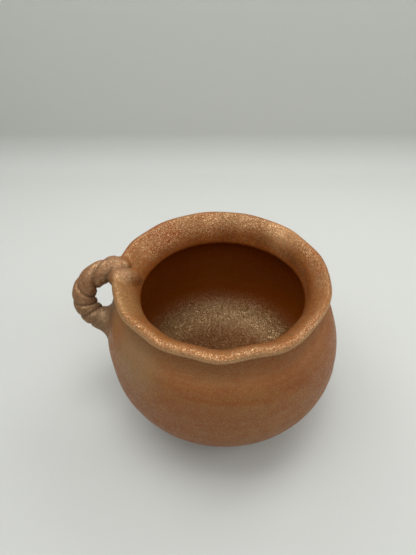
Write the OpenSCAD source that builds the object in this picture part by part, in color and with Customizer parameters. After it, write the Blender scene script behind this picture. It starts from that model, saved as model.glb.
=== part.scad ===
// Hand-coiled bean pot of unglazed micaceous clay, with a fluted rim and one small ear handle.
// It is built up the way the potter builds it: a base pad, courses of coil that lap over each other,
// a fluted rim coil, two rolls twisted into the handle, and the clay that welds the handle on.
// The origin is the middle of the foot, +Z is up through the mouth, and the handle is on the -X side.

/* [Body] */
// Widest diameter, at the belly
belly_d = 170; // [160:1:180]
// Height of the belly's widest line above the foot
belly_z = 60; // [56:1:64]
// Diameter of the flat foot
foot_d = 64; // [52:1:76]
// Fullness of the shoulder, where 2 is a plain oval
shoulder_full = 2.75; // [2.4:0.05:3.0]

/* [Wall] */
// Thickness of the coiled wall
wall_t = 5.5; // [4.5:0.1:6.5]
// Thickness of the base pad at its middle
base_t = 8; // [6:0.1:10]
// Courses of coil between the base pad and the rim coil
courses = 6; // [4:1:8]
// Profile steps by which a joint's inside edge lies above its outside edge
lap_steps = 2; // [1:1:3]

/* [Rim] */
// Inside diameter of the throat
throat_d = 114.6; // [110:0.2:118]
// Outside diameter of the rim, midway between its lobes and its valleys
rim_d = 146; // [142:0.5:152]
// Height of the rim above the foot
pot_h = 124; // [118:0.5:130]
// Rise of the flare from the throat to the rim
flare_h = 19; // [17:0.5:21]
// Thickness of the rounded lip
lip_t = 6; // [5:0.1:7]
// Slope of the flare under the lip, in degrees above level
flare_a = 50; // [45:1:55]
// Lobes around the rim
lobes = 12; // [8:1:16]
// How far a lobe stands out, and a valley is pinched in
lobe_out = 1.2; // [0:0.1:2]
// How far a lobe droops, and a valley rises
lobe_drop = 1; // [0:0.1:2]

/* [Handle] */
// Width of each of the two clay rolls, pressed flat against the other
roll_w = 14.4; // [12:0.2:15]
// Thickness of each roll before its inside is pressed flat
roll_t = 11.8; // [10.6:0.1:12.4]
// How far each roll's middle lies from the middle of the twisted rope
roll_offset = 2.6; // [2.2:0.1:3]
// How strongly the rope runs on outwards from the rim before it bends down
top_run = 28; // [26:0.5:31]
// How strongly it runs on outwards from the shoulder before it bends up
foot_run = 20; // [18:0.5:21]
// Height of the rope's middle at the rim, below the rim
top_drop = 4; // [3:0.5:6]
// Where on the shoulder it ends, from 0 at the widest line to 1 at the throat
foot_share = 0.59; // [0.53:0.01:0.66]
// Whole turns of twist from end to end
twist_turns = 2.6; // [1:0.1:3]
// Turn behind the -X side where the rope leaves the rim, in degrees
top_sway = 6; // [0:0.5:8]
// Turn in front of the -X side where it meets the shoulder, in degrees
foot_sway = 5; // [0:0.5:8]
// Thickness of the clay between the rope's end and the shoulder
weld_t = 3.5; // [3:0.1:4.5]

/* [Hidden] */
$fn = 96;

clay = "#b8713f";
dark_clay = "#8f5c3c";

belly_r = belly_d / 2;
foot_r = foot_d / 2;
throat_r = throat_d / 2;
rim_r = rim_d / 2;
lip_r = lip_t / 2;
slip = 0.15; // the film of slip between a modelled piece and what it is pressed on

oval_depth = belly_z / sqrt(1 - pow(foot_r / belly_r, 2));
foot_a = asin(foot_r / belly_r);
shoulder_h = pot_h - flare_h - belly_z;
inner_foot_a = 25;
neck_r = throat_r + wall_t;
neck_a = 80; // where the outside of the shoulder turns up into the neck
throat_a = 75; // where its inside turns up into the throat
throat_z = belly_z + shoulder_h;
corner = 4; // length of flare that the neck's soft outside corner takes up

oval_n = 22;
shoulder_n = 15;
shoulder_ease = 1.3; // draws the shoulder's steps closer together next to the widest line
floor_n = 5;
neck_n = 3;
flare_n = 5;
lip_n = 8;

// Points and directions in the profile plane are [radius, height].
function unit(v) = v / norm(v);
function slope_dir(a) = [cos(a), sin(a)];
function soft_corner(a, b, c, t) = (1 - t) * (1 - t) * a + 2 * t * (1 - t) * b + t * t * c;
function crossing(p, d, q, e) = p + d * ((q - p)[0] * e[1] - (q - p)[1] * e[0]) / (d[0] * e[1] - d[1] * e[0]);
function oval(r, depth, a) = [r * sin(a), belly_z - depth * cos(a)];
function shoulder(r, end_r, h, a) = [
    end_r + (r - end_r) * pow(cos(a), 2 / shoulder_full),
    belly_z + h * pow(sin(a), 2 / shoulder_full)
];
function eased(i) = pow(i / shoulder_n, shoulder_ease);
function shoulder_dir(r, end_r, h, a) = unit(shoulder(r, end_r, h, a + 0.5) - shoulder(r, end_r, h, a - 0.5));

lip_mid = [rim_r - lip_r, pot_h - lip_r];
flare_dir = slope_dir(flare_a);
flare_out = slope_dir(flare_a - 90);
lip_under = lip_mid + lip_r * flare_out;
lip_inner = lip_mid - lip_r * flare_out;

outer_end = shoulder(belly_r, neck_r, shoulder_h, neck_a);
outer_corner = crossing(outer_end, shoulder_dir(belly_r, neck_r, shoulder_h, neck_a), lip_under, flare_dir);
outer_flare = outer_corner + corner * flare_dir;
inner_r = belly_r - wall_t;
inner_h = shoulder_h - wall_t;
inner_end = shoulder(inner_r, throat_r, inner_h, throat_a);
inner_corner = crossing(inner_end, shoulder_dir(inner_r, throat_r, inner_h, throat_a), [throat_r, 0], [0, 1]);
throat = [throat_r, throat_z];
throat_corner = crossing(throat, [0, 1], lip_inner, flare_dir);

// Both sides of the wall have the same steps, so that one step number names a place on each.
outer_side = concat(
    [for (i = [0:oval_n - 1]) oval(belly_r, oval_depth, foot_a + (90 - foot_a) * i / oval_n)],
    [for (i = [0:shoulder_n - 1]) shoulder(belly_r, neck_r, shoulder_h, neck_a * eased(i))],
    [for (i = [0:neck_n - 1]) soft_corner(outer_end, outer_corner, outer_flare, i / neck_n)],
    [for (i = [0:flare_n]) outer_flare + (lip_under - outer_flare) * i / flare_n]
);
inner_side = concat(
    [for (i = [0:oval_n - 1])
        oval(inner_r, belly_z - base_t, inner_foot_a + (90 - inner_foot_a) * i / oval_n)],
    [for (i = [0:shoulder_n - 1]) shoulder(inner_r, throat_r, inner_h, throat_a * eased(i))],
    [for (i = [0:neck_n - 1]) soft_corner(inner_end, inner_corner, throat, i / neck_n)],
    [for (i = [0:flare_n]) soft_corner(throat, throat_corner, lip_inner, i / flare_n)]
);
base_steps = 2;
throat_step = oval_n + shoulder_n + neck_n;
rim_step = throat_step - lap_steps;
lip_step = throat_step + flare_n;

// The outside step at which joint number i starts. Joint 0 is the base pad's edge, and the last is the
// rim coil's.
function joint(i) = base_steps + round((rim_step - base_steps) * i / courses);
function outer_steps(a, b) = [for (i = [a:b]) outer_side[i]];
function inner_steps_down(a, b) = [for (i = [b:-1:a]) inner_side[i]];

// Outside radius of the belly and shoulder at a height above the widest line
function shoulder_r(z) = neck_r + (belly_r - neck_r)
    * pow(1 - pow(min(1, max(0, (z - belly_z) / shoulder_h)), shoulder_full), 1 / shoulder_full);
function shoulder_normal(z) = unit([1, (shoulder_r(z - 0.2) - shoulder_r(z + 0.2)) / 0.4]);

// The lobes are pinched by hand, so they lie wider apart on one side than on the other.
lobe_start = 4.6;
lobe_drift = 6.8;
lobe_drift_a = 25;
lobe_fade = 1.2;
function lobe_wave(a) = cos(lobes * (a - lobe_start - lobe_drift * cos(a - lobe_drift_a)));
function lobe_share(z) = pow(max(0, (z - throat_z) / (pot_h - throat_z)), lobe_fade);
function fluted(p, a) = p + lobe_wave(a) * lobe_share(p[1]) * [lobe_out, -lobe_drop];

rim_sides = 120;
rim_profile = concat(
    [outer_side[rim_step] + [0, slip]],
    outer_steps(rim_step + 1, lip_step),
    [for (i = [1:lip_n - 1]) lip_mid + lip_r * slope_dir(flare_a - 90 + 180 * i / lip_n)],
    inner_steps_down(rim_step + lap_steps + 1, lip_step),
    [inner_side[rim_step + lap_steps] + [0, slip]]
);

function turned(p, a) = [p[0] * cos(a), p[0] * sin(a), p[1]];
// Triangles between ring i and ring i + 1 of n points each
function band(i, next, n) = [
    for (k = [0:n - 1], half = [0, 1])
        let (a = i * n + k, b = i * n + (k + 1) % n, c = next * n + (k + 1) % n, d = next * n + k)
        half == 0 ? [a, b, c] : [a, c, d]
];

module base_pad() {
    color(clay) rotate_extrude() polygon(concat(
        [[0, 0]],
        outer_steps(0, joint(0)),
        inner_steps_down(0, joint(0) + lap_steps),
        [for (i = [floor_n - 1:-1:0]) oval(inner_r, belly_z - base_t, inner_foot_a * i / floor_n)]
    ));
}

module wall_coil(i) {
    color(clay) rotate_extrude() polygon(concat(
        outer_steps(joint(i - 1), joint(i)),
        inner_steps_down(joint(i - 1) + lap_steps, joint(i) + lap_steps)
    ));
}

module rim_coil() {
    n = len(rim_profile);
    color(clay) polyhedron(
        points = [for (j = [0:rim_sides - 1], p = rim_profile)
            let (a = 360 * j / rim_sides) turned(fluted(p, a), a)],
        faces = [for (j = [0:rim_sides - 1]) each band(j, (j + 1) % rim_sides, n)],
        convexity = 6
    );
}

// The rope's middle line: from the rim out and back down to the shoulder. Its ends stand off the pot
// by the clay that welds them on.
rope_steps = 56;
lip_weld_t = 1.2;
foot_z = belly_z + foot_share * shoulder_h;
top_dir = unit([1, -0.2]);
foot_dir = unit([1, 0.37]);
rope_top = [rim_r + lobe_out + lip_weld_t, pot_h - top_drop];
rope_foot = [shoulder_r(foot_z), foot_z] + weld_t * foot_dir;
function cubic(a, b, c, d, t) =
    pow(1 - t, 3) * a + 3 * t * pow(1 - t, 2) * b + 3 * t * t * (1 - t) * c + pow(t, 3) * d;
function rope_rz(t) =
    cubic(rope_top, rope_top + top_run * top_dir, rope_foot + foot_run * foot_dir, rope_foot, t);
function rope_a(t) = 180 - top_sway + (top_sway + foot_sway) * t;
function rope_at(t) = turned(rope_rz(t), rope_a(t));
function rope_dir(t) = t <= 0 ? turned(top_dir, rope_a(0))
    : t >= 1 ? turned(-foot_dir, rope_a(1))
    : unit(rope_at(t + 0.01) - rope_at(t - 0.01));
function rope_up(t) = unit(cross(rope_dir(t), [0, -1, 0]));

// The twist starts slack at the rim and tightens towards the shoulder.
twist_start = 5;
twist_even = 0.55;
function twist(t) = twist_start + 360 * twist_turns * (twist_even * t + (1 - twist_even) * pow(t, 3));

// A roll's cross-section in its own [out, across] axes: round outside, and pressed flat, but for a slight
// hollow, where the two rolls meet.
hollow = 0.12;
flat_a = acos((slip - roll_offset) / (roll_t / 2));
flat_w = roll_w / 2 * sin(flat_a);
arc_n = 12;
flat_n = 4;
roll_section = concat(
    [for (i = [0:arc_n]) let (a = flat_a * (2 * i / arc_n - 1))
        [roll_offset + roll_t / 2 * cos(a), roll_w / 2 * sin(a)]],
    [for (i = [1:flat_n - 1]) let (u = 1 - 2 * i / flat_n) [slip + hollow * (1 - u * u), flat_w * u]]
);

module handle_roll(half_turn) {
    n = len(roll_section);
    color(dark_clay) polyhedron(
        points = [for (i = [0:rope_steps])
            let (t = i / rope_steps, a = twist(t) + half_turn,
                mid = rope_at(t), up = rope_up(t), side = cross(up, rope_dir(t)),
                out = cos(a) * up + sin(a) * side, across = cos(a) * side - sin(a) * up)
            for (p = roll_section) mid + p[0] * out + p[1] * across],
        faces = concat(
            [[for (k = [n - 1:-1:0]) k]],
            [for (i = [0:rope_steps - 1]) each band(i, i + 1, n)],
            [[for (k = [0:n - 1]) rope_steps * n + k]]
        ),
        convexity = 8
    );
}

// A pad of clay pressed on a curved surface: its middle and then its rings outwards, each place
// given as [foot point, outward direction, thickness]
pad_rings = 7;
pad_sectors = 28;
pad_places = concat([[0, 0]], [for (r = [1:pad_rings], s = [0:pad_sectors - 1])
    r / pad_rings * slope_dir(360 * s / pad_sectors)]);
module pressed_pad(places) {
    top = len(places);
    n = pad_sectors;
    rim = top - n;
    skin = concat(
        [for (s = [0:n - 1]) [0, 1 + (s + 1) % n, 1 + s]],
        [for (r = [0:pad_rings - 2], s = [0:n - 1]) each
            let (a = 1 + r * n + s, b = 1 + r * n + (s + 1) % n, c = b + n, d = a + n) [[a, b, c], [a, c, d]]]
    );
    color(dark_clay) polyhedron(
        points = concat([for (p = places) p[0]], [for (p = places) p[0] + p[1] * p[2]]),
        faces = concat(
            [for (f = skin) [f[2], f[1], f[0]]],
            [for (f = skin) [top + f[0], top + f[1], top + f[2]]],
            [for (s = [0:n - 1]) each let (a = rim + s, b = rim + (s + 1) % n)
                [[b, a, top + a], [b, top + a, top + b]]]
        ),
        convexity = 4
    );
}

// The clay is as thick as the room up to the rope's flat end, and thins out to the pad's edge. Where the
// surface faces away from that end, nothing limits it.
edge_t = 0.35;
facing = 0.15;
no_limit = 1000;
function room(p, n, end, dir) = n * dir > facing ? ((end - p) * dir - slip) / (n * dir) : no_limit;
function bell(u, v) = pow(max(0, 1 - u * u - v * v), 2);

// The upper pad saddles the lip, from under the flare up over the lip and down its inside.
saddle_w = 13;
saddle_first = 5;
saddle_last = len(rim_profile) - 6;
saddle_fill = [[-1, 13], [-0.4, 12], [0, 7.5], [0.4, 4.5], [1, 3]];
function rim_normal(k) = let (d = rim_profile[k + 1] - rim_profile[k - 1]) unit([d[1], -d[0]]);
function between(list, k) = let (i = floor(k)) list[i] + (k - i) * (list[i + 1] - list[i]);
rim_normals = [for (k = [0:len(rim_profile) - 2]) rim_normal(max(1, k))];

module handle_upper_weld() {
    pressed_pad([for (q = pad_places)
        let (k = saddle_first + (q[0] + 1) / 2 * (saddle_last - saddle_first),
            a = rope_a(0) + q[1] * saddle_w / rim_r * 180 / PI, n = unit(between(rim_normals, k)),
            p = fluted(between(rim_profile, k), a) + slip * n,
            fill = edge_t + lookup(q[0], saddle_fill) * bell(q[0], q[1]))
        [turned(p, a), turned(n, a), max(edge_t, min(fill, room(p, n, rope_top, top_dir)))]]);
}

// The lower pad is an oval smear on the shoulder.
smear_h = 0.36 * shoulder_h;
smear_w = 15;
smear_fill = 9;

module handle_lower_weld() {
    pressed_pad([for (q = pad_places)
        let (z = foot_z + q[0] * smear_h, a = rope_a(1) + q[1] * smear_w / belly_r * 180 / PI,
            n = shoulder_normal(z), p = [shoulder_r(z), z] + slip * n,
            fill = edge_t + smear_fill * bell(q[0], q[1]))
        [turned(p, a), turned(n, a), max(edge_t, min(fill, room(p, n, rope_foot, foot_dir)))]]);
}

base_pad();
for (i = [1:courses]) wall_coil(i);
rim_coil();
handle_roll(0);  // handle_roll_1
handle_roll(180);  // handle_roll_2
handle_upper_weld();
handle_lower_weld();
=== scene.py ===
# Hand-coiled bean pot of micaceous clay: its looks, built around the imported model.
import math

import bmesh
import bpy
import numpy as np
from mathutils import Matrix, Vector, noise
from mathutils.bvhtree import BVHTree


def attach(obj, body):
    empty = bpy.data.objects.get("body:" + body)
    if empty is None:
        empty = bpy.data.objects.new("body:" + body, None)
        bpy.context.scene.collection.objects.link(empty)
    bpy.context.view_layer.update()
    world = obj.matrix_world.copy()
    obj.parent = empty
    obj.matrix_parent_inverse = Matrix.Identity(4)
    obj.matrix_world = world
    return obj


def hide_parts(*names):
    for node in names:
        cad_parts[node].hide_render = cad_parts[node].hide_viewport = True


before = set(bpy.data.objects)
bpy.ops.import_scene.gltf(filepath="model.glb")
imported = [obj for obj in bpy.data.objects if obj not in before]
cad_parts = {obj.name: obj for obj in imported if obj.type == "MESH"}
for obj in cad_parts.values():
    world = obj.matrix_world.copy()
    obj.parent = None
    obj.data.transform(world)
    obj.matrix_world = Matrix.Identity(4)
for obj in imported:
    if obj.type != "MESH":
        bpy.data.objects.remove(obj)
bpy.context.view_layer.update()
mm = 0.001
print("frame loaded")


def clamp01(x):
    return min(1.0, max(0.0, x))


def smoothStep(low, high, x):
    u = clamp01((x - low) / (high - low))
    return u * u * (3 - 2 * u)


def newObject(name, bm):
    mesh = bpy.data.meshes.new(name)
    bm.to_mesh(mesh)
    bm.free()
    for face in mesh.polygons:
        face.use_smooth = True
    piece = bpy.data.objects.new(name, mesh)
    bpy.context.scene.collection.objects.link(piece)
    return piece


# The pot's body

potShape = {
    "bellyR": 85 * mm,
    "bellyZ": 60 * mm,
    "footR": 32 * mm,
    "footEdge": 5 * mm,  # how far back the soft edge of the foot starts
    "throatR": 57.3 * mm,
    "throatZ": 105 * mm,
    "rimR": 73 * mm,
    "rimZ": 124 * mm,
    "wall": 5.5 * mm,
    "base": 8 * mm,
    "lipT": 6 * mm,
    "flareTilt": 47,  # degrees above level
    "shoulderFull": 2.75,
    "sides": 288,
    "innerTilt": 36,  # slope of the inside where it rolls over into the lip
    "neckAngle": 62,  # where the shoulder's oval gives way to the groove under the flare
    "neckSoft": 8 * mm,
    "throatAngle": 69,  # and where the inside's oval gives way to the roll-over at the throat
    "bowlFull": 2.35,  # fullness of the bowl's inside, where 2 is a plain oval
    # Lobes and the pinched valleys between them: degrees round the rim, and mm outwards
    "pinches": [(12, 0.8), (29, -1.3), (44, 1.0), (58, -0.9), (72, 1.0), (83, -1.4), (98, 1.3), (111, -0.8),
                (124, 1.0), (140, -0.9), (152, 0.9), (165, -0.4), (180, 0.4), (196, -0.2), (213, 0.7),
                (226, -0.5), (241, 0.9), (254, 0.2), (268, 2.0), (283, -0.3), (300, 2.0), (321, 0.2),
                (342, 1.0), (357, 0.6)],
    "frontRoll": 1.4 * mm,  # the flare's inside rolls over flatter at the front
    "lobeDrop": 0.5,  # a lobe droops by this share of its reach
    "lean": 2.6 * mm,  # the mouth leans towards the handle
    "uneven": 0.35 * mm,
    "lumps": 0.14 * mm,
    "backLift": 1.6 * mm,  # the rim rises and spreads a little at the back
    "slump": (1.8 * mm, 1.9 * mm),  # the shoulder is less full on the right and on the left
    "throatWide": (35, 2.4 * mm),  # the throat is wider towards this side, in degrees
    "throatTight": (205, 1.0 * mm),
}


def lerp(a, b, u):
    return a + (b - a) * u


def bezierPoint(a, b, c, u):
    return (1 - u) ** 2 * a + 2 * u * (1 - u) * b + u * u * c


def crossing(p, d, q, e):
    side = (q - p)[0] * e[1] - (q - p)[1] * e[0]
    return p + d * side / (d[0] * e[1] - d[1] * e[0])


def shoulderPoint(r, endR, high, angle):
    power = 2 / potShape["shoulderFull"]
    return np.array([
        endR + (r - endR) * math.cos(angle) ** power,
        potShape["bellyZ"] + high * math.sin(angle) ** power,
    ])


def shoulderR(z):
    s = potShape
    neckR = s["throatR"] + s["wall"]
    up = clamp01((z - s["bellyZ"]) / (s["throatZ"] - s["bellyZ"]))
    return neckR + (s["bellyR"] - neckR) * (1 - up ** s["shoulderFull"]) ** (1 / s["shoulderFull"])


# The wall's outline, from the middle of the foot up the outside, over the lip and down the inside
def potProfile():
    s = potShape
    tilt = math.radians(s["flareTilt"])
    along = np.array([math.cos(tilt), math.sin(tilt)])
    out = np.array([math.sin(tilt), -math.cos(tilt)])
    lipR = s["lipT"] / 2
    lip = np.array([s["rimR"] - lipR, s["rimZ"] - lipR])
    depth = s["bellyZ"] / math.sqrt(1 - (s["footR"] / s["bellyR"]) ** 2)
    footA = math.asin(s["footR"] / s["bellyR"])
    neckR = s["throatR"] + s["wall"]
    shoulderH = s["throatZ"] - s["bellyZ"]
    neckA = math.radians(s["neckAngle"])
    throatA = math.radians(s["throatAngle"])
    innerR = s["bellyR"] - s["wall"]
    innerH = shoulderH - s["wall"]

    def oval(r, deep, angle):
        return np.array([r * math.sin(angle), s["bellyZ"] - deep * math.cos(angle)])

    def bowlPoint(r, deep, angle):
        power = 2 / s["bowlFull"]
        return np.array([r * math.sin(angle) ** power, s["bellyZ"] - deep * math.cos(angle) ** power])

    def eased(i, n):
        return (i / n) ** 1.3

    softA = footA + 0.055
    points = [np.array([s["footR"] * u, 0.0]) for u in (0, 0.12, 0.3, 0.5, 0.7)]
    flatEnd = np.array([s["footR"] - s["footEdge"], 0.0])
    points += [bezierPoint(flatEnd, np.array([s["footR"], 0.0]), oval(s["bellyR"], depth, softA), i / 6)
               for i in range(6)]
    points += [oval(s["bellyR"], depth, lerp(softA, math.pi / 2, i / 34)) for i in range(34)]
    points += [shoulderPoint(s["bellyR"], neckR, shoulderH, neckA * eased(i, 30)) for i in range(30)]
    end = shoulderPoint(s["bellyR"], neckR, shoulderH, neckA)
    near = shoulderPoint(s["bellyR"], neckR, shoulderH, neckA - 0.01)
    under = lip + lipR * out
    corner = crossing(end, end - near, under, along)
    flare = corner + s["neckSoft"] * along
    points += [bezierPoint(end, corner, flare, i / 12) for i in range(12)]
    points += [lerp(flare, under, i / 8) for i in range(8)]
    innerTilt = math.radians(s["innerTilt"])
    points += [lip + lipR * np.array([math.cos(a), math.sin(a)])
               for a in (lerp(tilt - math.pi / 2, innerTilt + math.pi / 2, i / 12) for i in range(12))]
    innerAlong = np.array([math.cos(innerTilt), math.sin(innerTilt)])
    inner = lip + lipR * np.array([-math.sin(innerTilt), math.cos(innerTilt)])
    throat = np.array([s["throatR"], s["throatZ"]])
    throatCorner = crossing(throat, np.array([0.0, 1.0]), inner, innerAlong)
    points += [bezierPoint(inner, throatCorner, throat, i / 14) for i in range(14)]
    innerEnd = shoulderPoint(innerR, s["throatR"], innerH, throatA)
    innerNear = shoulderPoint(innerR, s["throatR"], innerH, throatA - 0.01)
    innerCorner = crossing(innerEnd, innerEnd - innerNear, throat, np.array([0.0, 1.0]))
    points += [bezierPoint(throat, innerCorner, innerEnd, i / 6) for i in range(6)]
    points += [shoulderPoint(innerR, s["throatR"], innerH, throatA * eased(i, 26)) for i in range(26, 0, -1)]
    points += [bowlPoint(innerR, s["bellyZ"] - s["base"], math.pi / 2 * (i / 44) ** 1.2)
               for i in range(44, -1, -1)]
    return points


def pinchAt(phi):
    pinches = potShape["pinches"]
    for i, (low, out) in enumerate(pinches):
        high, nextOut = pinches[(i + 1) % len(pinches)]
        past = (phi - low) % 360
        gap = (high - low) % 360
        if past < gap:
            return lerp(out, nextOut, smoothStep(0, gap, past)) * mm
    return 0.0


def leanAt(z):
    s = potShape
    u = clamp01((z - s["bellyZ"]) / (s["rimZ"] - s["bellyZ"]))
    return -s["lean"] * (1 - (1 - u) ** 2)


def throatShift(co, r, phi):
    s = potShape
    if r > s["throatR"] + 9 * mm:
        return 0.0
    near = smoothStep(84 * mm, 98 * mm, co.z) * smoothStep(121 * mm, 108 * mm, co.z)
    wideAt, wide = s["throatWide"]
    tightAt, tight = s["throatTight"]
    wider = wide * max(0.0, math.cos(math.radians(phi - wideAt))) ** 1.5
    return near * (wider - tight * max(0.0, math.cos(math.radians(phi - tightAt))))


def frontRoll(co, r, phi):
    s = potShape
    inner = smoothStep(0, 4 * mm, co.z - s["throatZ"] - 1.15 * (r - s["throatR"]))
    band = smoothStep(57.5 * mm, 63 * mm, r) * smoothStep(70.5 * mm, 66 * mm, r)
    return s["frontRoll"] * max(0.0, -math.sin(math.radians(phi))) ** 1.5 * inner * band


# Moves a point of the turned shape to where the potter's hands left it
def handMade(co):
    s = potShape
    r = math.hypot(co.x, co.y)
    if r < 1e-6:
        return co.copy()
    phi = math.degrees(math.atan2(co.y, co.x)) % 360
    share = max(0.0, (co.z - s["throatZ"]) / (s["rimZ"] - s["throatZ"])) ** 1.2
    wave = pinchAt(phi) * share
    fade = smoothStep(0, 12 * mm, co.z)
    uneven = s["uneven"] * noise.noise(co * 21) + s["lumps"] * noise.noise(co * 85 + Vector((3, 1, 7)))
    back = max(0.0, math.sin(math.radians(phi))) * share
    toRight = math.cos(math.radians(phi))
    slump = s["slump"][0 if toRight > 0 else 1] * toRight ** 2 * smoothStep(72 * mm, 90 * mm, co.z) * smoothStep(108 * mm, 96 * mm, co.z)
    out = (wave + uneven * fade + 0.7 * s["backLift"] * back - slump + throatShift(co, r, phi)) / r
    lift = s["backLift"] * back - wave * s["lobeDrop"] + frontRoll(co, r, phi)
    return Vector((co.x * (1 + out) + leanAt(co.z), co.y * (1 + out), co.z + lift))


def makePot():
    bm = bmesh.new()
    verts = [bm.verts.new((p[0], 0, p[1])) for p in potProfile()]
    edges = [bm.edges.new(pair) for pair in zip(verts, verts[1:])]
    bmesh.ops.spin(bm, geom=verts + edges, cent=(0, 0, 0), axis=(0, 0, 1), dvec=(0, 0, 0),
                   angle=2 * math.pi, steps=potShape["sides"], use_merge=True, use_duplicate=False)
    bmesh.ops.remove_doubles(bm, verts=bm.verts, dist=1e-6)
    bmesh.ops.recalc_face_normals(bm, faces=bm.faces)
    markSkin(bm)
    for v in bm.verts:
        v.co = handMade(v.co)
    return bm


# How far a point lies on the outer half of the lip
def onEdge(r, z):
    s = potShape
    lipR = s["lipT"] / 2
    x, y = r - s["rimR"] + lipR, z - s["rimZ"] + lipR
    angle = math.degrees(math.atan2(y, x))
    return smoothStep(-43, -20, angle) * smoothStep(65, 30, angle) if math.hypot(x, y) < 1.1 * lipR else 0.0


# Marks the bowl's redder skin below the throat, the dull groove under the flare, which gets a painted sheen, and
# the lip's outer half, which gets a painted highlight
def markSkin(bm):
    s = potShape
    inside = bm.verts.layers.float.new("inside")
    groove = bm.verts.layers.float.new("groove")
    edge = bm.verts.layers.float.new("edge")
    for v in bm.verts:
        r, z = math.hypot(v.co.x, v.co.y), v.co.z
        up = clamp01((s["bellyZ"] - z) / s["bellyZ"])
        skin = shoulderR(z) if z > s["bellyZ"] else s["bellyR"] * math.sqrt(max(0.0, 1 - up * up))
        within = z > 0.6 * s["base"] and skin - r > 0.6 * s["wall"]
        v[inside] = smoothStep(s["throatZ"] + 9 * mm, s["throatZ"] - 3 * mm, z) if within else 0.0
        v[edge] = onEdge(r, z)
        outer = not within and r > s["throatR"] + 5.3 * mm + max(0.0, z - s["throatZ"]) * 0.53
        v[groove] = smoothStep(87 * mm, 107 * mm, z) * smoothStep(121.5 * mm, 117 * mm, z) if outer else 0.0


potMesh = makePot()
potTree = BVHTree.FromBMesh(potMesh)
print("pot body turned:", len(potMesh.verts), "points")


# The handle: two clay rolls twisted into a rope, welded over the lip and onto the shoulder

handleShape = {
    "rollW": 14.4 * mm,
    "rollT": (10.6 * mm, 12.0 * mm),  # thickness and offset of the rolls, near the lip and near the shoulder
    "rollOffset": (3.1 * mm, 2.3 * mm),
    "topRun": 26.4 * mm,
    "footRun": 17.4 * mm,
    "top": (75.4 * mm, 119.3 * mm),
    "topDir": (1, -0.2),
    "footZ": 85 * mm,
    "footDir": (1, 0.37),
    "footStand": 3.5 * mm,
    "topSway": 6,  # degrees behind the -X side
    "footSway": 5,  # degrees in front of it
    "twistStart": -8,
    "twistKick": (45, 0.04),  # an extra turn in degrees, gained over this first share of the rope
    "twistTurns": 2.6,
    "twistEven": 0.68,
    "rootTwist": 6.5,  # degrees for each mm of the rope's run into the lip
    "crease": (0.4 * mm, 1.5 * mm),  # softness of the line between the rolls, near the lip and further on
    "rootTop": 3 * mm,  # how far the rope runs on into the lip and the shoulder
    "rootFoot": 8.5 * mm,
    "weldTop": 4.2 * mm,
    "weldFoot": 7 * mm,
    "sink": 0.3 * mm,  # the feathered clay dives under the pot's skin by this
    "voxel": 0.7 * mm,
    # The ends of the rolls laid over the lip: a point and its radius, in mm
    "tongue1": [((-77.4, 8.8, 120.8), 6.2), ((-73.4, 9.0, 121.0), 5.2), ((-68.9, 9.0, 121.0), 2.2)],
    "tongue2": [((-76.4, 1.8, 116.8), 5.6), ((-71, -2.2, 118.6), 5.6), ((-67.8, 0.2, 117.8), 5.3),
                ((-64.6, 3.6, 115.0), 4.6), ((-61, 8.8, 109.4), 3.0)],
}


def unit(v):
    return v / np.linalg.norm(v, axis=-1, keepdims=True)


# Places, directions, twist and share along the rope, with a straight root at each end
def ropeLine(count=260):
    h = handleShape
    t = np.linspace(0, 1, count)
    topDir = unit(np.array(h["topDir"], float))
    footDir = unit(np.array(h["footDir"], float))
    top = np.array(h["top"])
    foot = np.array([shoulderR(h["footZ"]), h["footZ"]]) + h["footStand"] * footDir
    a, b, c, d = top, top + h["topRun"] * topDir, foot + h["footRun"] * footDir, foot
    u = t[:, None]
    rz = (1 - u) ** 3 * a + 3 * u * (1 - u) ** 2 * b + 3 * u * u * (1 - u) * c + u ** 3 * d
    angle = np.radians(180 - h["topSway"] + (h["topSway"] + h["footSway"]) * t)
    place = np.stack([rz[:, 0] * np.cos(angle), rz[:, 0] * np.sin(angle), rz[:, 1]], 1)
    place[:, 0] += [leanAt(z) for z in place[:, 2]]
    step = np.linalg.norm(np.diff(place, axis=0), axis=1).mean()
    start = unit(place[1] - place[0])
    finish = unit(place[-1] - place[-2])
    before = np.arange(int(h["rootTop"] / step), 0, -1)
    after = np.arange(1, int(h["rootFoot"] / step))
    place = np.concatenate([place[0] - before[:, None] * step * start, place,
                            place[-1] + after[:, None] * step * finish])
    t = np.concatenate([np.zeros(len(before)), t, np.ones(len(after))])
    way = unit(np.gradient(place, axis=0))
    inLip = np.concatenate([before * step / mm, np.zeros(len(t) - len(before))])
    twist = np.radians(h["twistStart"] - h["rootTwist"] * inLip
                       + 360 * h["twistTurns"] * (h["twistEven"] * t + (1 - h["twistEven"]) * t ** 3)
                       + h["twistKick"][0] * (1 - np.exp(-t / h["twistKick"][1])))
    up = unit(np.cross(way, [0, -1, 0]))
    side = np.cross(up, way)
    cosT, sinT = np.cos(twist)[:, None], np.sin(twist)[:, None]
    return {"place": place, "way": way, "t": t, "out": cosT * up + sinT * side,
            "across": cosT * side - sinT * up, "step": step}


rope = ropeLine()


def ellipseGap(x, y, a, b):
    k0 = np.sqrt((x / a) ** 2 + (y / b) ** 2)
    k1 = np.sqrt((x / a ** 2) ** 2 + (y / b ** 2) ** 2) + 1e-9
    return k0 * (k0 - 1) / k1


def softMin(a, b, k):
    h = np.maximum(k - np.abs(a - b), 0) / k
    return np.minimum(a, b) - h * h * k / 4


def nearestOnRope(points):
    found = np.zeros(len(points), int)
    for i in range(0, len(points), 4000):
        part = points[i:i + 4000]
        gaps = ((part[:, None, :] - rope["place"][None]) ** 2).sum(2)
        found[i:i + 4000] = gaps.argmin(1)
    return found


def capsuleGap(points, a, b, ra, rb):
    a, b = np.array(a) * mm, np.array(b) * mm
    u = np.clip(((points - a) @ (b - a)) / ((b - a) @ (b - a)), 0, 1)
    return np.linalg.norm(points - a - u[:, None] * (b - a), axis=1) - (ra + (rb - ra) * u) * mm


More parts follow.
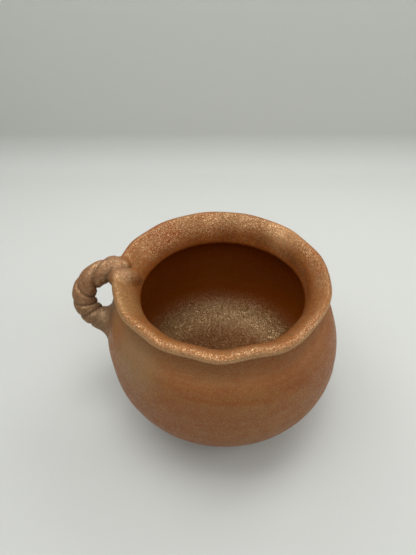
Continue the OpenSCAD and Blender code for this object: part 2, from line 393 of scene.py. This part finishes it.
def rollGaps(points, near):
    h = handleShape
    off = points - rope["place"][near]
    x = (off * rope["out"][near]).sum(1)
    y = (off * rope["across"][near]).sum(1)
    s = (off * rope["way"][near]).sum(1)
    last = len(rope["t"]) - 1
    over = np.where(near == 0, -s, np.where(near == last, s, -1.0))
    u = np.clip(rope["t"][near] / 0.6, 0, 1)
    half, offset = lerp(*h["rollT"], u) / 2, lerp(*h["rollOffset"], u)
    first = ellipseGap(x - offset, y, half, h["rollW"] / 2)
    second = ellipseGap(x + offset, y, half, h["rollW"] / 2)
    return first, second, over


def tongueGap(points, tongue):
    gaps = [capsuleGap(points, a, b, ra, rb) for (a, ra), (b, rb) in zip(tongue, tongue[1:])]
    total = gaps[0]
    for gap in gaps[1:]:
        total = softMin(total, gap, 4 * mm)
    return total


# Distances to each of the two rolls, with the end that the potter laid over the lip
def rollsToLip(points, near):
    first, second, over = rollGaps(points, near)
    both = []
    for gap, tongue in ((first, "tongue1"), (second, "tongue2")):
        gap = np.where(over > 0, np.hypot(np.maximum(gap, 0), over) + np.minimum(gap, 0) * 0.2, gap)
        both.append(softMin(gap, tongueGap(points, handleShape[tongue]), 3 * mm))
    return both


def ropeGap(points, near):
    first, second = rollsToLip(points, near)
    t = rope["t"][near]
    soft = lerp(*handleShape["crease"], np.clip((t - 0.1) / 0.4, 0, 1))
    return softMin(first, second, soft + 5 * mm * np.clip((t - 0.88) / 0.12, 0, 1) ** 2)


def potGap(points):
    gaps = np.zeros(len(points))
    normals = np.zeros((len(points), 3))
    for i, p in enumerate(points):
        place, normal, _, far = potTree.find_nearest(Vector(p))
        sign = 1 if (Vector(p) - place).dot(normal) >= 0 else -1
        gaps[i] = sign * far
        normals[i] = normal
    return gaps, normals


# Moves points onto the skin that melts the handle's clay into the pot's
def settle(points, rounds=4):
    h = handleShape
    for _ in range(rounds):
        near = nearestOnRope(points)
        handleGap = ropeGap(points, near)
        eps = 0.05 * mm
        slope = np.zeros_like(points)
        for axis in range(3):
            shift = np.zeros(3)
            shift[axis] = eps
            slope[:, axis] = (ropeGap(points + shift, near) - ropeGap(points - shift, near)) / (2 * eps)
        wall, normal = potGap(points)
        wall = wall + h["sink"]
        t = rope["t"][near]
        k = h["weldTop"] + (h["weldFoot"] - h["weldTop"]) * np.clip((t - 0.4) / 0.3, 0, 1)
        mix = np.maximum(k - np.abs(handleGap - wall), 0) / k
        gap = np.minimum(handleGap, wall) - mix * mix * k / 4
        share = np.where(handleGap < wall, 1 - mix / 2, mix / 2)[:, None]
        total = share * slope + (1 - share) * normal
        length2 = np.maximum((total ** 2).sum(1), 0.25)
        live = (wall > -0.8 * mm) & (np.abs(gap) < 4 * mm)
        move = np.clip(gap / length2, -1 * mm, 1 * mm) * live
        points = points - move[:, None] * total
    return points


# The rope's rough form: a disc of clay extruded along the rope's middle line
def ropeTube():
    bm = bmesh.new()
    radius = 7.2 * mm
    places = list(range(0, len(rope["t"]), 5))

    def discAt(k):
        place, way = Vector(rope["place"][k]), Vector(rope["way"][k])
        return Matrix.Translation(place) @ way.to_track_quat("Z", "Y").to_matrix().to_4x4()

    bmesh.ops.create_circle(bm, cap_ends=True, segments=24, radius=radius, matrix=discAt(places[0]))
    for k, after in zip(places, places[1:]):
        bm.faces.ensure_lookup_table()
        top = max(bm.faces, key=lambda f: f.index) if k == places[0] else cap
        moved = bmesh.ops.extrude_face_region(bm, geom=[top])["geom"]
        cap = next(g for g in moved if isinstance(g, bmesh.types.BMFace))
        verts = [g for g in moved if isinstance(g, bmesh.types.BMVert)]
        turn = Vector(rope["way"][k]).rotation_difference(Vector(rope["way"][after])).to_matrix()
        middle, target = Vector(rope["place"][k]), Vector(rope["place"][after])
        for v in verts:
            v.co = target + turn @ (v.co - middle)
    bmesh.ops.recalc_face_normals(bm, faces=bm.faces)
    return bm


def addBall(bm, place, radius):
    bmesh.ops.create_icosphere(bm, subdivisions=3, radius=radius * mm,
                               matrix=Matrix.Translation(Vector(place) * mm))


# A thin plate of the pot's own skin round a joint, just under the skin
def potPatch(bm, source, middle, reach):
    patch = source.copy()
    patch.normal_update()
    far = [f for f in patch.faces if (f.calc_center_median() - middle).length > reach]
    bmesh.ops.delete(patch, geom=far, context="FACES")
    for v in patch.verts:
        v.co -= v.normal * handleShape["sink"]
    bmesh.ops.solidify(patch, geom=patch.faces, thickness=1.9 * mm)
    bmesh.ops.recalc_face_normals(patch, faces=patch.faces)
    scratch = bpy.data.meshes.new("patch")
    patch.to_mesh(scratch)
    patch.free()
    bm.from_mesh(scratch)
    bpy.data.meshes.remove(scratch)


def makeHandle():
    bm = ropeTube()
    for place, radius in (((-75, 6.5, 122), 4.6), ((-71, 7.8, 121.2), 3.4), ((-70, -2, 121), 4.6),
                          ((-67.2, 1, 119.2), 4.4), ((-64.5, 4, 117.2), 4), ((-74, -4, 119.6), 4.6),
                          ((-62.6, 6.6, 114.2), 3.2)):
        addBall(bm, place, radius)
    potPatch(bm, potMesh, Vector((-70, 1, 119)) * mm, 19 * mm)
    potPatch(bm, potMesh, Vector(rope["place"][-1]), 21 * mm)
    rough = newObject("handleRough", bm)
    remesh = rough.modifiers.new("remesh", "REMESH")
    remesh.mode = "VOXEL"
    remesh.voxel_size = handleShape["voxel"]
    done = rough.evaluated_get(bpy.context.evaluated_depsgraph_get())
    bm = bmesh.new()
    bm.from_mesh(done.to_mesh())
    bpy.data.objects.remove(rough)
    points = np.array([v.co[:] for v in bm.verts])
    for relax in range(3):
        points = settle(points, 3)
        for v, p in zip(bm.verts, points):
            v.co = p
        if relax < 2:
            bmesh.ops.smooth_vert(bm, verts=bm.verts, factor=0.5, use_axis_x=True, use_axis_y=True,
                                  use_axis_z=True)
            points = np.array([v.co[:] for v in bm.verts])
    markHandle(bm, points)
    return bm


# Marks how far the clay stands off the pot, and the crease where the two rolls meet, which gets painted shade
def markHandle(bm, points):
    fromPot = bm.verts.layers.float.new("fromPot")
    crease = bm.verts.layers.float.new("crease")
    first, second = rollsToLip(points, nearestOnRope(points))
    along = rope["t"][nearestOnRope(points)]
    for v, gap, apart, t in zip(bm.verts, potGap(points)[0], np.abs(first - second), along):
        lipward = smoothStep(62 * mm, 70 * mm, math.hypot(v.co.x, v.co.y))
        v[fromPot] = smoothStep(-0.2 * mm, 4.5 * mm, gap) * (0.25 + 0.75 * lipward)
        v[crease] = (smoothStep(1.9 * mm, 0.3 * mm, apart) * smoothStep(0.0, 0.6 * mm, gap)
                     * (1 - 0.5 * smoothStep(0.1, 0.4, t)))


handleMesh = makeHandle()
print("handle modelled:", len(handleMesh.verts), "points")
handleObject = newObject("twistedHandle", handleMesh)
potObject = newObject("potBody", potMesh)


# Materials

# A short way to write a node tree
class Nodes:
    def __init__(self, name):
        self.material = bpy.data.materials.new(name)
        self.material.use_nodes = True
        self.tree = self.material.node_tree
        self.tree.nodes.clear()

    def add(self, kind, inputs=None, **settings):
        node = self.tree.nodes.new(kind)
        for key, value in settings.items():
            setattr(node, key, value)
        for key, value in (inputs or {}).items():
            socket = node.inputs[key]
            if isinstance(value, bpy.types.NodeSocket):
                self.tree.links.new(value, socket)
            else:
                socket.default_value = value
        return node

    def noise(self, vector, scale, detail=3, rough=0.5, distortion=0.0):
        node = self.add("ShaderNodeTexNoise", {"Vector": vector, "Scale": scale, "Detail": detail,
                                               "Roughness": rough, "Distortion": distortion})
        return node.outputs["Fac"]

    def spread(self, value, low, high, outLow=0.0, outHigh=1.0):
        node = self.add("ShaderNodeMapRange", {"Value": value, "From Min": low, "From Max": high,
                                               "To Min": outLow, "To Max": outHigh},
                        interpolation_type="SMOOTHSTEP")
        return node.outputs["Result"]

    def math(self, operation, a, b=0.0):
        return self.add("ShaderNodeMath", {0: a, 1: b}, operation=operation).outputs[0]

    def mark(self, name):
        return self.add("ShaderNodeAttribute", attribute_name=name).outputs["Fac"]

    def blend(self, share, a, b):
        return self.add("ShaderNodeMix", {0: share, 2: a, 3: b}, data_type="FLOAT").outputs[0]

    def mix(self, share, a, b, blend="MIX"):
        node = self.tree.nodes.new("ShaderNodeMix")
        node.data_type = "RGBA"
        node.blend_type = blend
        for socket, value in ((node.inputs[0], share), (node.inputs[6], a), (node.inputs[7], b)):
            if isinstance(value, bpy.types.NodeSocket):
                self.tree.links.new(value, socket)
            else:
                socket.default_value = value
        return node.outputs[2]


clayLook = {
    "clay": (0.222, 0.051, 0.002, 1),
    "clayRed": (0.21, 0.038, 0.001, 1),
    "clayPale": (0.25, 0.073, 0.006, 1),
    "inside": (0.22, 0.047, 0.0005, 1),
    # painted sheen: a paler, greyer ring round the bowl's floor
    "bowlRingSheen": (0.20, 0.088, 0.020, 1),
    # painted shade: a darker bowl floor
    "bowlFloorShade": (0.135, 0.038, 0.004, 1),
    "handleDark": (0.15, 0.066, 0.032, 1),
    "handle": (0.27, 0.135, 0.068, 1),
    # painted shade for the rope's lower part and for the shoulder by its foot
    "handleShade": (0.150, 0.088, 0.048, 1),
    # pale grey tone for the smoke clouds and wiping marks, also used as a painted sheen on the front-left shoulder
    "smokeAndSheen": (0.26, 0.158, 0.072, 1),
    # painted sheen under the lip, laid over the groove
    "grooveSheen": (0.34, 0.155, 0.065, 1),
    # painted sheen on the flare, laid paler towards the top
    "rim": (0.27, 0.112, 0.034, 1),
    # painted highlight on the lip's outer half
    "edge": (0.475, 0.238, 0.097, 1),
    "ochre": (0.31, 0.160, 0.052, 1),
    # painted shade in the crease between the two rolls
    "creaseShade": (0.055, 0.019, 0.008, 1),
    "mica": (0.50, 0.34, 0.19, 1),
    "fineFlakes": (7600, 0.17),  # cells of the flake pattern for each metre, and the share that shines
    "coarseFlakes": (4000, 0.22),
    # more mica on the lip's outer half, which adds to its painted highlight
    "edgeFlakes": (4000, 0.42),
    "plates": 1750,  # larger flakes that catch the light one by one
    "plateTilt": 0.42,
    "flakeRough": (0.16, 0.30),
    "rough": 0.44,
    "grooveRough": 0.25,  # the burnisher doesn't reach the groove under the flare
    "ior": 1.38,
    "sheenTint": (1, 0.72, 0.46, 1),
    "wipeAcross": 420,  # how close together the potter's wiping marks lie
    "wipeAlong": 2.5,
    # Spots of tone and of painted light: place, reach, share and tone
    # painted sheen: a pale grey patch on the front-left shoulder; painted shade: a dark patch on the shoulder by
    # the handle's foot
    "spotsOfToneAndPaintedLight": [((-0.058, -0.056, 0.096), 0.036, 0.7, "smokeAndSheen"), ((-0.077, -0.008, 0.090), 0.032, 0.85, "handleShade"),
                # the handle's tone where its end lies on the lip; painted highlight: a pale patch on the far
                # flare's right
                ((-0.071, -0.002, 0.120), 0.018, 0.75, "handle"), ((0.050, 0.046, 0.122), 0.030, 0.6, "edge"),
                # painted shade: a darker patch on the far flare's left; a paler ochre patch on the lip's front left
                ((-0.045, 0.050, 0.121), 0.030, 0.7, "clayRed"), ((-0.067, -0.026, 0.122), 0.034, 0.6, "ochre"),
                # plain clay on the belly's front
                ((-0.004, -0.080, 0.072), 0.040, 0.6, "clay")],
}


def cellSet(n, place, scale):
    cells = n.add("ShaderNodeTexVoronoi", {"Vector": place, "Scale": scale}, feature="F1")
    return cells, n.add("ShaderNodeSeparateColor", {"Color": cells.outputs["Color"]}).outputs


# The clay without its mica: clouded, mottled, wiped and smoked, with painted highlight, sheen and shade laid in
def clayColor(n, place, wipes, mottle, fine, toneShare):
    c = clayLook
    clouds = n.noise(place, 16, 3, 0.55, 0.3)
    color = n.mix(n.spread(clouds, 0.35, 0.65), c["clay"], c["clayPale"])
    color = n.mix(n.spread(mottle, 0.42, 0.66, 0, 0.75), color, c["clayRed"])
    color = n.mix(n.spread(fine, 0.5, 0.72, 0, 0.3), color, c["clayPale"])
    height = n.add("ShaderNodeSeparateXYZ", {"Vector": place}).outputs["Z"]
    # painted sheen: the flare and lip grow paler and pinker towards the top
    color = n.mix(n.spread(height, 0.107, 0.121, 0, 0.35), color, c["rim"])
    # painted highlight: the lip's outer half is laid in a pale tone
    color = n.mix(n.math("MULTIPLY", n.mark("edge"), 0.75), color, c["edge"])
    # painted sheen: the groove under the flare is laid paler
    color = n.mix(n.math("MULTIPLY", n.mark("groove"), 0.3), color, c["grooveSheen"])
    # painted light in the bowl: a paler ring as painted sheen, and a darker floor as painted shade
    liningAndPaintedLight = n.mix(n.spread(height, 0.034, 0.024), c["inside"], c["bowlRingSheen"])
    liningAndPaintedLight = n.mix(n.spread(height, 0.019, 0.013), liningAndPaintedLight, c["bowlFloorShade"])
    color = n.mix(n.mark("inside"), color, liningAndPaintedLight)
    away = n.mark("fromPot")
    # painted shade: the rope darkens downwards, from its own tone to a shaded one
    ropeToneAndShade = n.mix(n.spread(height, 0.112, 0.092), c["handle"], c["handleShade"])
    ropeToneAndShade = n.mix(n.spread(n.noise(place, 240, 4, 0.65, 0.6), 0.46, 0.66, 0, 0.55), ropeToneAndShade, c["handleDark"])
    color = n.mix(n.math("MULTIPLY", away, toneShare), color, ropeToneAndShade)
    # painted shade along the crease where the two rolls meet
    color = n.mix(n.math("MULTIPLY", n.mark("crease"), 0.9), color, c["creaseShade"])
    shifted = n.add("ShaderNodeMapping", {"Vector": place, "Location": (0.4, 0.1, 0.2)}).outputs[0]
    smokeAndSheen = n.noise(shifted, 13, 2, 0.5, 0.4)
    airy = n.spread(n.mark("inside"), 0, 1, 1, 0.15)  # little smoke gets inside
    color = n.mix(n.math("MULTIPLY", n.spread(smokeAndSheen, 0.56, 0.80, 0, 0.35), airy), color, c["smokeAndSheen"])
    # lays the spots of tone and of painted light
    for spot, reach, share, tone in c["spotsOfToneAndPaintedLight"]:
        gap = n.add("ShaderNodeVectorMath", {0: place, 1: spot}, operation="DISTANCE").outputs["Value"]
        gap = n.math("ADD", gap, n.math("MULTIPLY", clouds, 0.012))
        color = n.mix(n.spread(gap, reach, 0.4 * reach, 0, share), color, c[tone])
    return n.mix(n.math("MULTIPLY", n.spread(wipes, 0.35, 0.65, 0, 0.22), airy), color, c["smokeAndSheen"])


# Where a flake of mica shows: finer on the belly, coarser on the flare, the lip, the bowl's floor and the handle
def flakeMask(n, place, height, handleShare):
    masks = []
    for scale, share in (clayLook["fineFlakes"], clayLook["coarseFlakes"], clayLook["edgeFlakes"]):
        pick = cellSet(n, place, scale)[1]["Red"]
        masks.append(n.spread(pick, 0.99 - share, 1.01 - share))
    coarse = n.math("MAXIMUM", n.spread(height, 0.098, 0.112), n.mark("inside"))
    coarse = n.math("MAXIMUM", coarse, n.math("MULTIPLY", n.mark("fromPot"), handleShare))
    flake = n.blend(coarse, masks[0], n.blend(n.mark("edge"), masks[1], masks[2]))
    return n.math("MULTIPLY", flake, n.spread(n.mark("groove"), 0.0, 1.0, 0.85, 0.6))


# The bowl shines only in a ring round its floor
def bowlDull(n, height):
    ring = n.math("MULTIPLY", n.spread(height, 0.012, 0.021, 0.5, 1), n.spread(height, 0.027, 0.042, 1, 0.05))
    return n.math("MULTIPLY", n.mark("inside"), n.math("SUBTRACT", 1.0, ring))


def micaClay(name, toneShare):
    n = Nodes(name)
    c = clayLook
    place = n.add("ShaderNodeTexCoord").outputs["Object"]
    height = n.add("ShaderNodeSeparateXYZ", {"Vector": place}).outputs["Z"]
    mottle = n.noise(place, 150, 4, 0.6)
    fine = n.noise(place, 700, 3, 0.6)
    wipes = wipingMarks(n, place)
    color = clayColor(n, place, wipes, mottle, fine, toneShare)
    dull = bowlDull(n, height)
    flake = n.math("MULTIPLY", flakeMask(n, place, height, toneShare), n.math("SUBTRACT", 1.0, dull))
    color = n.mix(flake, color, c["mica"])
    grain = n.math("ADD", n.math("MULTIPLY", fine, 0.45), n.math("MULTIPLY", mottle, 0.7))
    grain = n.math("ADD", grain, n.math("MULTIPLY", wipes, 0.35))
    bump = n.add("ShaderNodeBump", {"Strength": 0.5, "Distance": 0.0006, "Height": grain}).outputs[0]
    plates, platePick = cellSet(n, place, c["plates"])
    tilt = n.add("ShaderNodeVectorMath", {0: plates.outputs["Color"], 1: (0.5, 0.5, 0.5)},
                 operation="SUBTRACT").outputs[0]
    reach = n.add("ShaderNodeVectorMath", {0: tilt, "Scale": c["plateTilt"]}, operation="SCALE").outputs[0]
    turned = n.add("ShaderNodeVectorMath", {0: bump, 1: reach}, operation="ADD").outputs[0]
    normal = n.add("ShaderNodeVectorMath", {0: turned}, operation="NORMALIZE").outputs[0]
    dry = c["rough"] + 0.08 * toneShare
    clayRough = n.spread(mottle, 0.3, 0.7, dry - 0.04, dry + 0.08)
    flakeRough = n.spread(platePick["Green"], 0, 1, c["flakeRough"][0], c["flakeRough"][1])
    rough = n.blend(flake, clayRough, flakeRough)
    rough = n.math("ADD", rough, n.math("MULTIPLY", n.mark("groove"), c["grooveRough"]))
    shader = n.add("ShaderNodeBsdfPrincipled", {
        "Base Color": color, "Roughness": rough, "Normal": normal, "Metallic": flake, "IOR": c["ior"],
        "Specular Tint": c["sheenTint"], "Specular IOR Level": n.spread(dull, 0, 1, 0.5, 0.12),
    })
    n.add("ShaderNodeOutputMaterial", {"Surface": shader.outputs[0]})
    return n.material


# Streaks that run round the pot, from one coordinate across the wall and a slow one round it
def wipingMarks(n, place):
    c = clayLook
    spot = n.add("ShaderNodeSeparateXYZ", {"Vector": place}).outputs
    flat = n.add("ShaderNodeCombineXYZ", {"X": spot["X"], "Y": spot["Y"]}).outputs[0]
    radius = n.add("ShaderNodeVectorMath", {0: flat}, operation="LENGTH").outputs["Value"]
    heading = n.add("ShaderNodeVectorMath", {0: flat}, operation="NORMALIZE").outputs[0]
    turn = n.add("ShaderNodeSeparateXYZ", {"Vector": heading}).outputs
    across = n.add("ShaderNodeCombineXYZ", {
        "X": n.math("MULTIPLY", radius, c["wipeAcross"]),
        "Y": n.math("MULTIPLY", spot["Z"], c["wipeAcross"]),
        "Z": n.math("MULTIPLY", turn["X"], c["wipeAlong"]),
    }).outputs[0]
    marks = n.add("ShaderNodeTexNoise", {"Vector": across, "W": n.math("MULTIPLY", turn["Y"], c["wipeAlong"]),
                                         "Scale": 1.0, "Detail": 2, "Roughness": 0.55},
                  noise_dimensions="4D")
    return marks.outputs["Fac"]


potObject.data.materials.append(micaClay("micaClay", 0.0))
handleObject.data.materials.append(micaClay("handleClay", 0.85))
print("clay mixed")

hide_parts("base_pad", "wall_coil_1", "wall_coil_2", "wall_coil_3", "wall_coil_4",
            "wall_coil_5", "wall_coil_6", "rim_coil")
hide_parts("handle_roll_1", "handle_roll_2", "handle_upper_weld", "handle_lower_weld")
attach(potObject, "root")
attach(handleObject, "root")


# The paper sweep that the pot stands on

sweepShape = {
    "width": 3.0,
    "front": -1.2,
    "bendStart": 0.37,
    "bendR": 0.05,
    "wallTop": 0.32,
    "color": (0.56, 0.57, 0.54, 1),
    # painted shade: the wall is laid a little darker than the floor
    "wallShadeColor": (0.53, 0.54, 0.51, 1),
}


def makeSweep():
    s = sweepShape
    bm = bmesh.new()
    half = s["width"] / 2
    turns = [math.pi / 2 * i / 24 for i in range(25)]
    side = [(s["front"], 0.0)]
    side += [(s["bendStart"] + s["bendR"] * math.sin(a), s["bendR"] * (1 - math.cos(a))) for a in turns]
    side += [(s["bendStart"] + s["bendR"], s["wallTop"])]
    verts = [bm.verts.new((-half, y, z)) for y, z in side]
    edges = [bm.edges.new(pair) for pair in zip(verts, verts[1:])]
    moved = bmesh.ops.extrude_edge_only(bm, edges=edges)["geom"]
    bmesh.ops.translate(bm, verts=[g for g in moved if isinstance(g, bmesh.types.BMVert)],
                        vec=(s["width"], 0, 0))
    bmesh.ops.recalc_face_normals(bm, faces=bm.faces)
    return newObject("paperSweep", bm)


def paper():
    n = Nodes("paper")
    s = sweepShape
    place = n.add("ShaderNodeTexCoord").outputs["Object"]
    spot = n.add("ShaderNodeSeparateXYZ", {"Vector": place})
    # painted shade: the paper darkens where it turns up into the wall
    color = n.mix(n.spread(spot.outputs["Z"], 0.0, 0.03), s["color"], s["wallShadeColor"])
    bump = n.add("ShaderNodeBump", {"Strength": 0.1, "Distance": 0.0002, "Height": n.noise(place, 900, 2)})
    shader = n.add("ShaderNodeBsdfPrincipled", {"Base Color": color, "Roughness": 0.85,
                                                "Normal": bump.outputs[0]})
    n.add("ShaderNodeOutputMaterial", {"Surface": shader.outputs[0]})
    return n.material


sweep = makeSweep()
sweep.data.materials.append(paper())


# Light and camera

# Softboxes round the pot: degrees from +X, degrees above the floor, size, power
lightPlan = {
    "top": {"turn": 0, "rise": 90, "size": 0.38, "power": 2.75},
    "front": {"turn": -90, "rise": 52, "size": 0.8, "power": 1.8},
    "frontLow": {"turn": -90, "rise": 25, "size": 0.6, "power": 0.3},
    "frontRight": {"turn": -45, "rise": 48, "size": 0.6, "power": 0.9},
    "right": {"turn": 0, "rise": 54, "size": 0.42, "power": 0.35},
    "backRight": {"turn": 42, "rise": 50, "size": 0.42, "power": 2.0},
    "back": {"turn": 90, "rise": 52, "size": 0.42, "power": 0.8},
    "backLeft": {"turn": 138, "rise": 52, "size": 0.42, "power": 1.4},
    "left": {"turn": 184, "rise": 62, "size": 0.36, "power": 1.5},
    "frontLeft": {"turn": -135, "rise": 48, "size": 0.6, "power": 1.0},
    "rightLow": {"turn": 0, "rise": 25, "size": 0.4, "power": 1.5},
    "leftLow": {"turn": 180, "rise": 28, "size": 0.4, "power": 0.25},
}
lightAim = Vector((0, 0, 0.06))
lightReach = 0.9


def addLamp(name, plan):
    data = bpy.data.lights.new(name, "AREA")
    data.shape = "SQUARE"
    data.size = plan["size"]
    data.energy = plan["power"]
    lamp = bpy.data.objects.new(name, data)
    turn, rise = math.radians(plan["turn"]), math.radians(plan["rise"])
    way = Vector((math.cos(turn) * math.cos(rise), math.sin(turn) * math.cos(rise), math.sin(rise)))
    lamp.location = lightAim + lightReach * way
    lamp.rotation_euler = (-way).to_track_quat("-Z", "Y").to_euler()
    bpy.context.scene.collection.objects.link(lamp)


for name, plan in lightPlan.items():
    addLamp(name, plan)

world = bpy.data.worlds.new("studio")
bpy.context.scene.world = world
world.use_nodes = True
world.node_tree.nodes["Background"].inputs["Color"].default_value = (0.97, 0.99, 1.0, 1)
world.node_tree.nodes["Background"].inputs["Strength"].default_value = 0.03

cameraPlan = {"place": (-0.0114, -0.2155, 0.3054), "pitchDown": 41, "lens": 27.05, "sensor": 36}
cameraData = bpy.data.cameras.new("camera")
cameraData.lens = cameraPlan["lens"]
cameraData.sensor_width = cameraPlan["sensor"]
camera = bpy.data.objects.new("camera", cameraData)
camera.location = cameraPlan["place"]
camera.rotation_euler = (math.radians(90 - cameraPlan["pitchDown"]), 0, 0)
bpy.context.scene.collection.objects.link(camera)
bpy.context.scene.camera = camera
bpy.context.scene.view_settings.view_transform = "Standard"
print("lit and framed")
